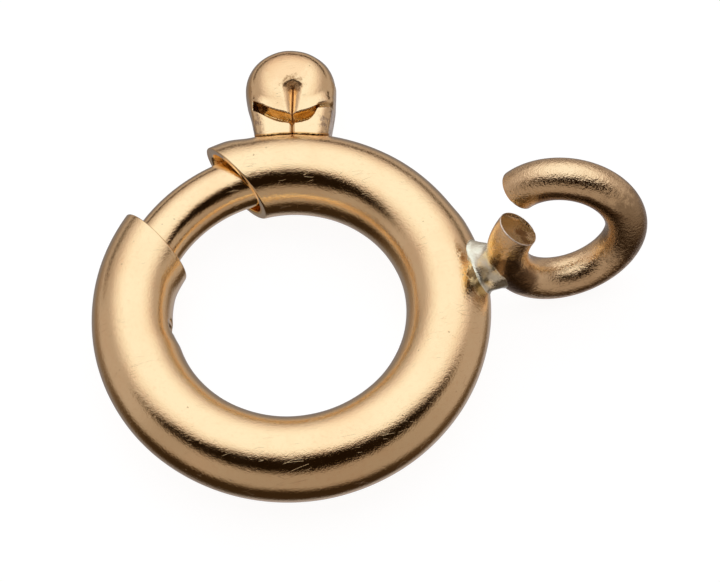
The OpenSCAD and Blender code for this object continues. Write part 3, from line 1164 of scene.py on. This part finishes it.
# The light seen in each direction, as a studio set: a soft panel overhead whose front edge ends near the
# camera, pale cards all round, a dark gap between panel and front card, and a dark table edge below.
# Directions are unit vectors in the part's frame.
PANEL_TOWARDS = (0.117, 0.4385, 0.891)
BEHIND = (0.0306, 0.4268, -0.9039)
STRIP_TOWARDS = (-0.951, -0.309)
BASE_LEVEL = 0.355
TABLE_LEVEL = 0.55
PANEL_LEVEL = 0.66
BEHIND_NEAR = (0.41, 0.38, 0.40)
BEHIND_FAR = (0.24, 0.22, 0.225)
LEVELS = (
    (0.0, (0.012, 0.006, 0.002)),
    (0.04, (0.074, 0.043, 0.021)),
    (0.09, (0.14, 0.097, 0.065)),
    (0.18, (0.26, 0.192, 0.145)),
    (0.31, (0.42, 0.345, 0.30)),
    (0.5, (0.64, 0.55, 0.525)),
    (0.7, (0.865, 0.77, 0.74)),
    (0.88, (1.0, 0.965, 0.94)),
    (1.0, (1.08, 1.1, 1.13)),
)


def toward(x, y, z, way):
    return x * way[0] + y * way[1] + z * way[2]


def light_level(x, y, z, twice):
    """Brightness of the studio set in the direction x, y, z. twice is 1 for light that the metal mirrors
    twice: it comes from the open table round the clasp, which is lit, not from the dark strip beside it."""
    level = toward(x, y, z, PANEL_TOWARDS).step(0.434, 1.0, 0.0, PANEL_LEVEL) + BASE_LEVEL
    past_edge = (y * -1.0 - x.math("MINIMUM", 0.0) * 0.2) / z.math("MAXIMUM", 0.05)
    gap = past_edge.step(0.14, 0.38) * z.step(0.4, 0.57)
    level = level * (gap * -1.0 + 1.0)
    level = level * y.step(-0.9, -0.1, 0.77, 1.0) * x.step(-0.9, -0.3, 1.06, 1.0)

    beside = (x * STRIP_TOWARDS[1] - y * STRIP_TOWARDS[0]).math("ABSOLUTE").step(0.05, 0.32, 0.2, 0.0)
    strip = beside * (x * STRIP_TOWARDS[0] + y * STRIP_TOWARDS[1]).step(0.4, 0.7)
    level = level * (strip * -1.0 + 1.0)

    from_line = (z + 0.02).math("ABSOLUTE")
    line = from_line.step(0.045, 0.11, 0.97, 0.0) * y.step(0.3, 0.5) * x.step(-0.82, -0.68)
    level = level * (line * -1.0 + 1.0)

    below = (z + x * 0.12).step(-0.56, -0.3)
    lit_side = y.step(-0.2, 0.8) * 0.52
    dark_side = below.math("MAXIMUM", (lit_side + x.step(0.2, 0.9) * 0.15 + 0.055))
    return (level * dark_side).math("MAXIMUM", twice * TABLE_LEVEL)


def studio_light():
    world = bpy.data.worlds.new("studio")
    bpy.context.scene.world = world
    world.use_nodes = True
    tree = world.node_tree
    back = tree.nodes["Background"]
    source = add_node(tree, "ShaderNodeTexCoord")
    x, y, z = xyz(tree, source.outputs["Generated"])
    sight = add_node(tree, "ShaderNodeLightPath")
    twice = Term(tree, sight.outputs["Ray Depth"]).step(2.4, 2.6) * z.fall(0.25, 0.55)
    colour = colour_ramp(tree, light_level(x, y, z, twice), LEVELS)
    behind = toward(x, y, z, BEHIND).step(0.68, 0.84)
    far_side = y.step(0.38, 0.52).math("MAXIMUM", x.fall(-0.3, -0.08))
    sheen = mix(tree, far_side, BEHIND_NEAR, BEHIND_FAR)
    tree.links.new(mix(tree, behind, colour, sheen).socket, back.inputs["Color"])
    back.inputs["Strength"].default_value = 1.0

    plain = add_node(tree, "ShaderNodeBackground", Color=(1.0, 1.0, 1.0, 1.0), Strength=1.0)
    both = add_node(tree, "ShaderNodeMixShader")
    tree.links.new(sight.outputs["Is Camera Ray"], both.inputs[0])
    tree.links.new(back.outputs[0], both.inputs[1])
    tree.links.new(plain.outputs[0], both.inputs[2])
    tree.links.new(both.outputs[0], tree.nodes["World Output"].inputs["Surface"])


def stage_floor():
    """Plain pale floor. It isn't seen in the metal, which mirrors the studio set instead."""
    material, tree, shader = new_material("pale_floor")
    shader.inputs["Base Color"].default_value = (*FLOOR_COLOUR, 1)
    shader.inputs["Roughness"].default_value = 0.9
    shader.inputs["Specular IOR Level"].default_value = 0.0
    shader.inputs["Emission Color"].default_value = (1, 1, 1, 1)
    shader.inputs["Emission Strength"].default_value = FLOOR_GLOW
    half = 400.0
    corners = [(-half, -half, FLOOR_Z), (half, -half, FLOOR_Z), (half, half, FLOOR_Z), (-half, half, FLOOR_Z)]
    floor = add_mesh("floor", corners, [(0, 1, 2, 3)], material)
    floor.visible_glossy = False


# Where the photograph was taken from, worked out from the ring's own outline in it
CAMERA_AZIMUTH = -4.1
CAMERA_ELEVATION = 64.68
CAMERA_ROLL = -8.07
CAMERA_DISTANCE = 53.18
FOCAL_PX = 3545.0
PHOTO_W, PHOTO_H = 720, 582
RING_CENTRE_PX = (291.06, 313.82)
SENSOR = 36.0
CLIP_FROM, CLIP_TO = 0.001, 5.0


def camera():
    """Camera at the photograph's angle, aimed so that the ring's centre falls where it does there."""
    a, e, r = (math.radians(v) for v in (CAMERA_AZIMUTH, CAMERA_ELEVATION, CAMERA_ROLL))
    back = Vector((math.sin(a) * math.cos(e), -math.cos(a) * math.cos(e), math.sin(e)))
    level_right = Vector((math.cos(a), math.sin(a), 0))
    level_up = back.cross(level_right)
    right = level_right * math.cos(r) + level_up * math.sin(r)
    up = back.cross(right)
    place = back * CAMERA_DISTANCE
    per_px = CAMERA_DISTANCE / FOCAL_PX
    aim = right * (PHOTO_W / 2 - RING_CENTRE_PX[0]) * per_px - up * (PHOTO_H / 2 - RING_CENTRE_PX[1]) * per_px
    back = (place - aim).normalized()
    right = up.cross(back).normalized()
    up = back.cross(right)
    data = bpy.data.cameras.new("photo_camera")
    data.sensor_width = SENSOR
    data.lens = SENSOR * FOCAL_PX / PHOTO_W
    data.clip_start, data.clip_end = CLIP_FROM, CLIP_TO
    cam = bpy.data.objects.new("photo_camera", data)
    rotation = Matrix((right, up, back)).transposed()
    cam.matrix_world = Matrix.Translation(place * MM) @ rotation.to_4x4()
    bpy.context.scene.collection.objects.link(cam)
    bpy.context.scene.camera = cam


# The whole
def put(piece, body, node):
    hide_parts(node)
    if body:
        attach(piece, body)


def build():
    bpy.context.scene.view_settings.view_transform = "Standard"
    camera()
    studio_light()
    stage_floor()

    tube_gold = metal(
        "tube_gold", GOLD, GOLD_WORN, (0.06, 0.13), 0.0024, fineness=1.5,
        marks=(bore_lining, flow_tan, flow_olive, solder_corner_brown),
    )
    trigger_gold = metal(
        "trigger_gold", GOLD, GOLD_WORN, (0.07, 0.14), 0.0018, fineness=1.3,
        marks=(
            dome_tarnish, neck_rough_and_shade, pocket_shade, pocket_end_shade, brow_shade,
            fold_flanks, dimple_mottling, foot_line, seam_line,
        ),
    )
    gold = metal("plain_gold", GOLD, GOLD_WORN, (0.07, 0.13), 0.002, fineness=1.3)
    satin = metal(
        "satin_gold", JUMP_GOLD, JUMP_WORN, (0.08, 0.15), 0.0075, fineness=1.15,
        marks=(
            far_side_shade, eye_painted_shade, stub_colour, stub_painted_shade,
            cut_face, face_bevel_highlights, face_shadow, cut_rim_glint,
        ),
    )
    silver = metal("solder", SOLDER, SOLDER_WORN, (0.26, 0.4), 0.006, pits=0.0)
    steel = metal("spring_steel", STEEL, STEEL_WORN, (0.2, 0.32), 0.001, waves=0.001)

    put(ring_tube(tube_gold), "clasp", "clasp_body")
    put(jump_ring(satin), "clasp", "clasp_body")
    put(solder_joint(silver), "clasp", "clasp_body")
    put(stop_tab(gold), "clasp", "clasp_body")
    put(closing_tongue(gold), "slider", "tongue")
    put(trigger_knob(trigger_gold), "slider", "trigger")

    squeezed = 1 - STILL_SHARE
    put(spring_coils("spring_far_coils", squeezed, 1, steel), "clasp", "spring")
    near = spring_coils("spring_near_coils", 0, squeezed, steel)
    put(near, None, "spring")
    split = SPRING_TAIL + (SPRING_FOOT - SPRING_TAIL) * squeezed
    start, end = (polar(RING_R * MM, at, 0.0) for at in (split, SPRING_TAIL))
    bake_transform(near)


build()
